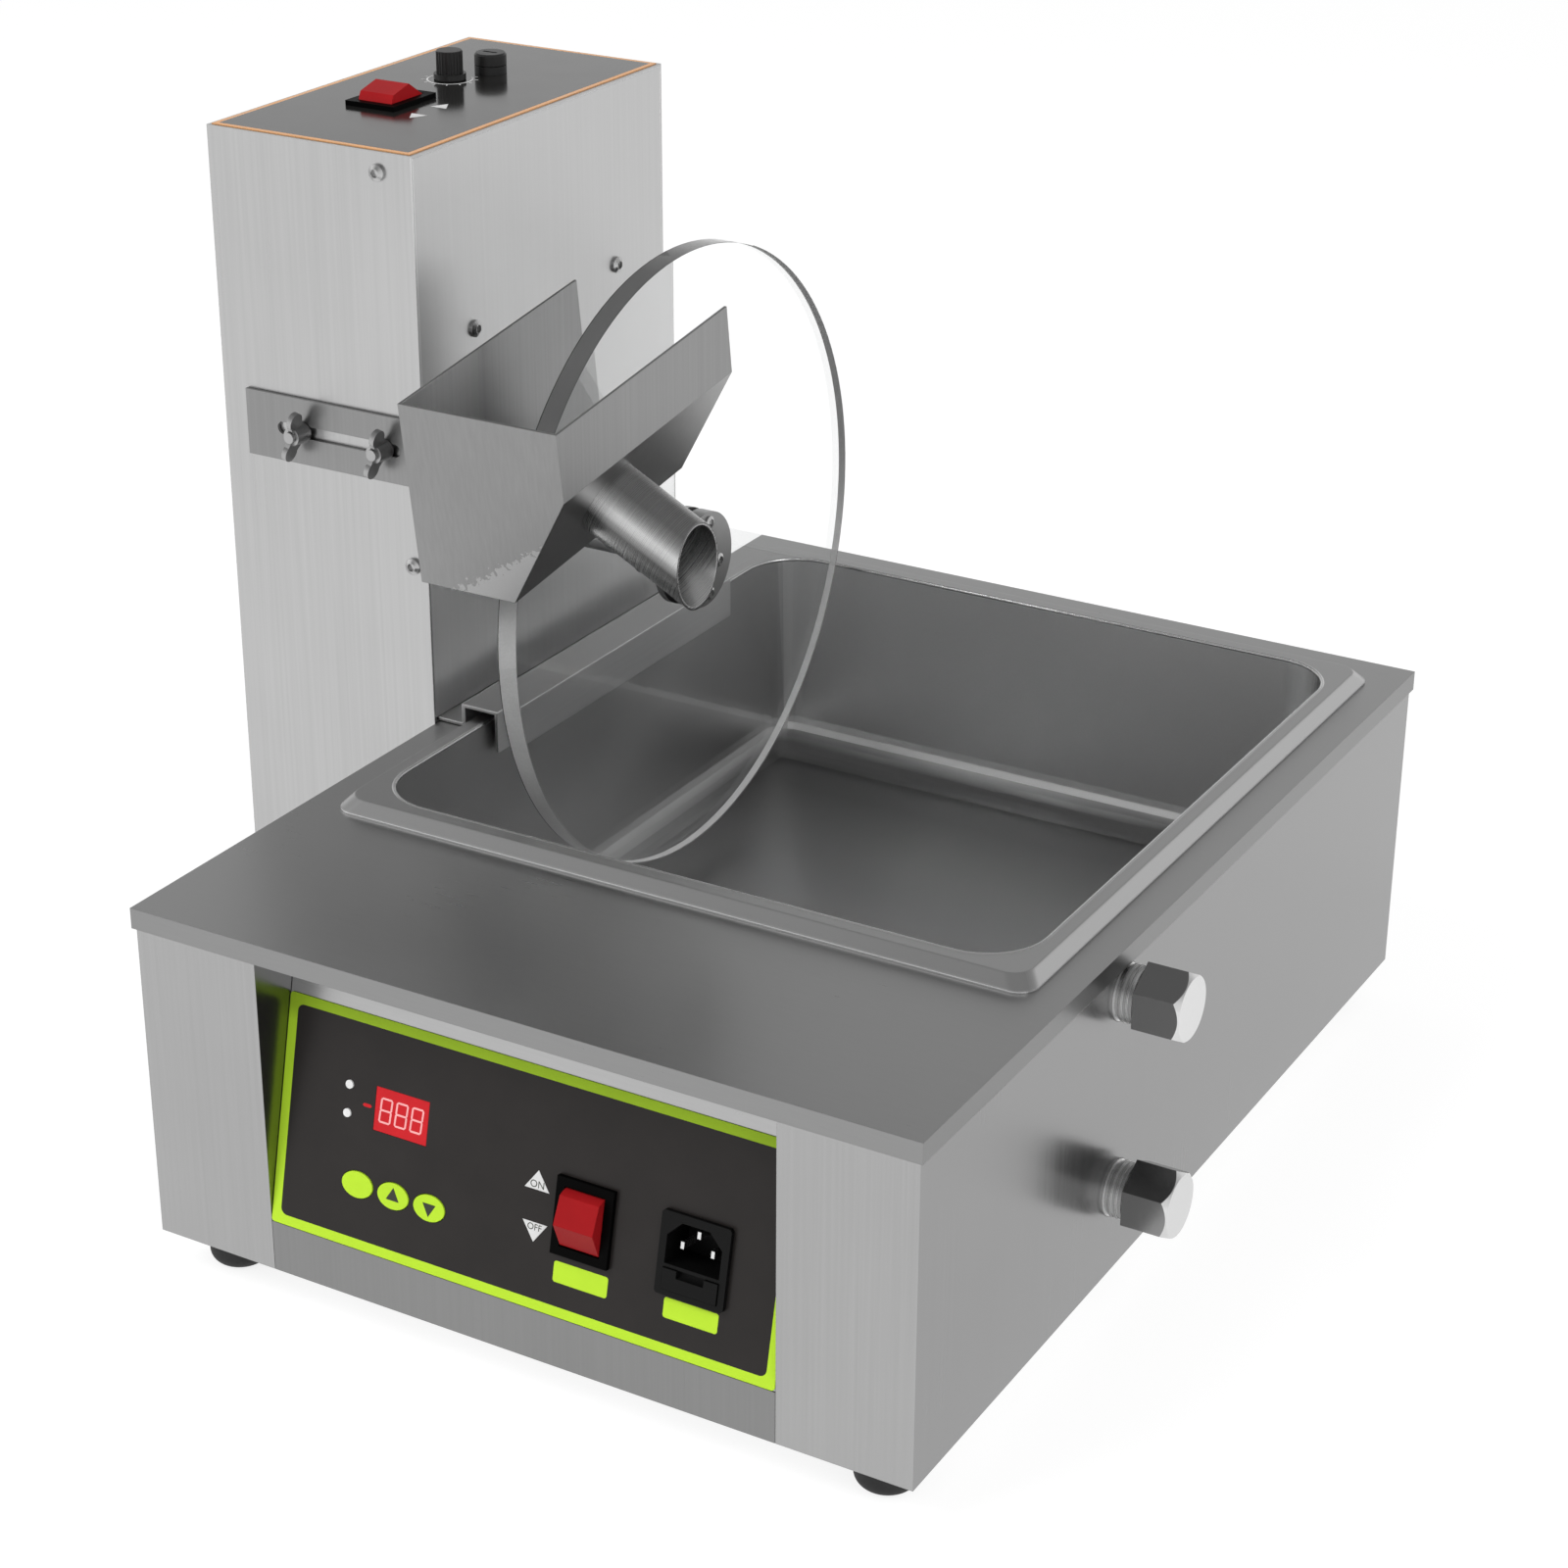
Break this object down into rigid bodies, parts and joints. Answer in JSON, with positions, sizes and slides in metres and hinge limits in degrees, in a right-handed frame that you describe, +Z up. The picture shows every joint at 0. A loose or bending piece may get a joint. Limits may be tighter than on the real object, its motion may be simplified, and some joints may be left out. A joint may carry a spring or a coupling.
{
  "type": "chocolate melting tank",
  "caption": "Water-bath chocolate melter with a steel pan, sloped control panel and capped drains, and a hook-on mixer tower that turns a clear wheel through a spouted scraper trough.",
  "frame": {"origin": "on the table under the middle of the machine's bounding box", "axes": "+Z up, the control panel faces -Y, the drains face +X and the mixer tower stands at -X"},
  "size_m": [0.4886, 0.485, 0.4358],
  "materials": {
    "cabinet_steel": "satin, brushed upright",
    "panel_steel": "satin",
    "cover_steel": "satin, brushed front to back",
    "pan_steel": "satin",
    "hidden_steel": "mill finish",
    "tower_steel": "satin, brushed upright",
    "side_steel": "satin",
    "hook_steel": "satin",
    "trough_steel": "satin, ground welds",
    "spout_steel": "satin tube",
    "hub_steel": "turned",
    "screw_steel": "plated",
    "drain_steel": "turned thread",
    "cap_steel": "polished",
    "pin_steel": "plated",
    "brass_parts": "plain",
    "motor_metal": "plain",
    "gearbox_metal": "cast",
    "clear_disc": "clear, polished edge",
    "panel_dark": "printed film",
    "lime_print": "printed film",
    "lime_button": "printed film",
    "display_red": "lit window",
    "lamp_white": "clear dome",
    "rocker_red": "glossy",
    "black_plastic": "moulded",
    "inlet_black": "moulded",
    "knob_black": "moulded",
    "tower_dark": "printed film",
    "line_orange": "printed film",
    "foot_rubber": "matt",
    "heater_rubber": "matt",
    "board_green": "circuit board"
  },
  "bodies": {
    "cabinet": {"base_shell": "cabinet_steel", "base_plate": "hidden_steel", "front_sill": "cabinet_steel", "panel_plate": "panel_steel", "panel_film": "panel_dark", "panel_border": "lime_print", "top_cover": "cover_steel", "water_tank": "hidden_steel", "heater_pad": "heater_rubber", "temp_probe": "hidden_steel", "control_board": "board_green", "board_posts": "brass_parts", "display_module": "display_red", "indicator_lamps": "lamp_white", "panel_switch_frame": "black_plastic", "power_inlet": "inlet_black", "inlet_pins": "pin_steel", "drain_nipples": "drain_steel", "drain_nuts": "brass_parts", "base_feet": "foot_rubber", "pan": "pan_steel"},
    "set_key": {"set_button": "lime_button"},
    "up_key": {"up_button": "lime_button"},
    "down_key": {"down_button": "lime_button"},
    "heat_rocker": {"panel_rocker": "rocker_red"},
    "fuse_tray": {"fuse_drawer": "inlet_black"},
    "upper_cap": {"drain_cap_upper": "cap_steel"},
    "lower_cap": {"drain_cap_lower": "cap_steel"},
    "mixer": {"tower_shell": "tower_steel", "tower_side_plate": "side_steel", "tower_base_plate": "hidden_steel", "tower_feet": "foot_rubber", "hook_bracket": "hook_steel", "tower_film": "tower_dark", "tower_border": "line_orange", "tower_switch_frame": "black_plastic", "speed_pot": "motor_metal", "fuse_holder": "knob_black", "motor_plate": "hidden_steel", "gearbox": "gearbox_metal", "gear_motor": "motor_metal", "shaft_bush": "brass_parts", "tower_gland": "black_plastic", "tower_screws": "screw_steel", "scraper_studs": "screw_steel"},
    "mixer_rocker": {"tower_rocker": "rocker_red"},
    "knob": {"speed_knob": "knob_black"},
    "tower_fuse": {"fuse_cap": "knob_black"},
    "wheel": {"drive_shaft": "hub_steel", "wheel_disc": "clear_disc", "hub_inner": "hub_steel", "hub_outer": "hub_steel", "hub_screws": "screw_steel"},
    "scraper": {"scraper_trough": "trough_steel", "scraper_spout": "spout_steel", "slotted_plate": "trough_steel"},
    "left_nut": {"wing_nut_left": "screw_steel"},
    "right_nut": {"wing_nut_right": "screw_steel"}
  },
  "joints": [
    {"name": "set_press", "type": "slide", "parent": "cabinet", "child": "set_key", "axis": [0, 0.9751, -0.2215], "range_m": [0, 0.0008], "stiffness_N_per_m": 400},
    {"name": "up_press", "type": "slide", "parent": "cabinet", "child": "up_key", "axis": [0, 0.9751, -0.2215], "range_m": [0, 0.0008], "stiffness_N_per_m": 400},
    {"name": "down_press", "type": "slide", "parent": "cabinet", "child": "down_key", "axis": [0, 0.9751, -0.2215], "range_m": [0, 0.0008], "stiffness_N_per_m": 400},
    {"name": "heat_switch", "type": "hinge", "parent": "cabinet", "child": "heat_rocker", "pos_m": [0.06835, -0.23123, 0.08213], "axis": [-1, 0, 0], "range_deg": [0, 20]},
    {"name": "fuse_pull", "type": "slide", "parent": "cabinet", "child": "fuse_tray", "axis": [0, -0.9751, 0.2215], "range_m": [0, 0.014]},
    {"name": "upper_drain_turn", "type": "hinge", "parent": "cabinet", "child": "upper_cap", "pos_m": [0.23, -0.07, 0.1463], "axis": [1, 0, 0], "range_deg": [0, 360]},
    {"name": "lower_drain_turn", "type": "hinge", "parent": "cabinet", "child": "lower_cap", "pos_m": [0.23, -0.07, 0.057], "axis": [1, 0, 0], "range_deg": [0, 360]},
    {"name": "mixer_lift", "type": "slide", "parent": "cabinet", "child": "mixer", "axis": [0, 0, 1], "range_m": [0, 0.1]},
    {"name": "mixer_switch", "type": "hinge", "parent": "mixer", "child": "mixer_rocker", "pos_m": [-0.20005, 0.0386, 0.4217], "axis": [1, 0, 0], "range_deg": [0, 20]},
    {"name": "speed_turn", "type": "hinge", "parent": "mixer", "child": "knob", "pos_m": [-0.20195, 0.086, 0.43], "axis": [0, 0, -1], "range_deg": [0, 280]},
    {"name": "fuse_turn", "type": "hinge", "parent": "mixer", "child": "tower_fuse", "pos_m": [-0.19345, 0.1058, 0.428], "axis": [0, 0, 1], "range_deg": [0, 60]},
    {"name": "wheel_spin", "type": "hinge", "parent": "mixer", "child": "wheel", "pos_m": [-0.0675, 0.0641, 0.2283], "axis": [1, 0, 0], "continuous": true},
    {"name": "scraper_adjust", "type": "slide", "parent": "mixer", "child": "scraper", "axis": [1, 0, 0], "range_m": [-0.0026, 0.0026]},
    {"name": "left_nut_turn", "type": "hinge", "parent": "mixer", "child": "left_nut", "pos_m": [-0.2008, -0.04, 0.2925], "axis": [0, -1, 0], "range_deg": [0, 360]},
    {"name": "right_nut_turn", "type": "hinge", "parent": "mixer", "child": "right_nut", "pos_m": [-0.1568, -0.04, 0.2925], "axis": [0, -1, 0], "range_deg": [0, 360]}
  ]
}
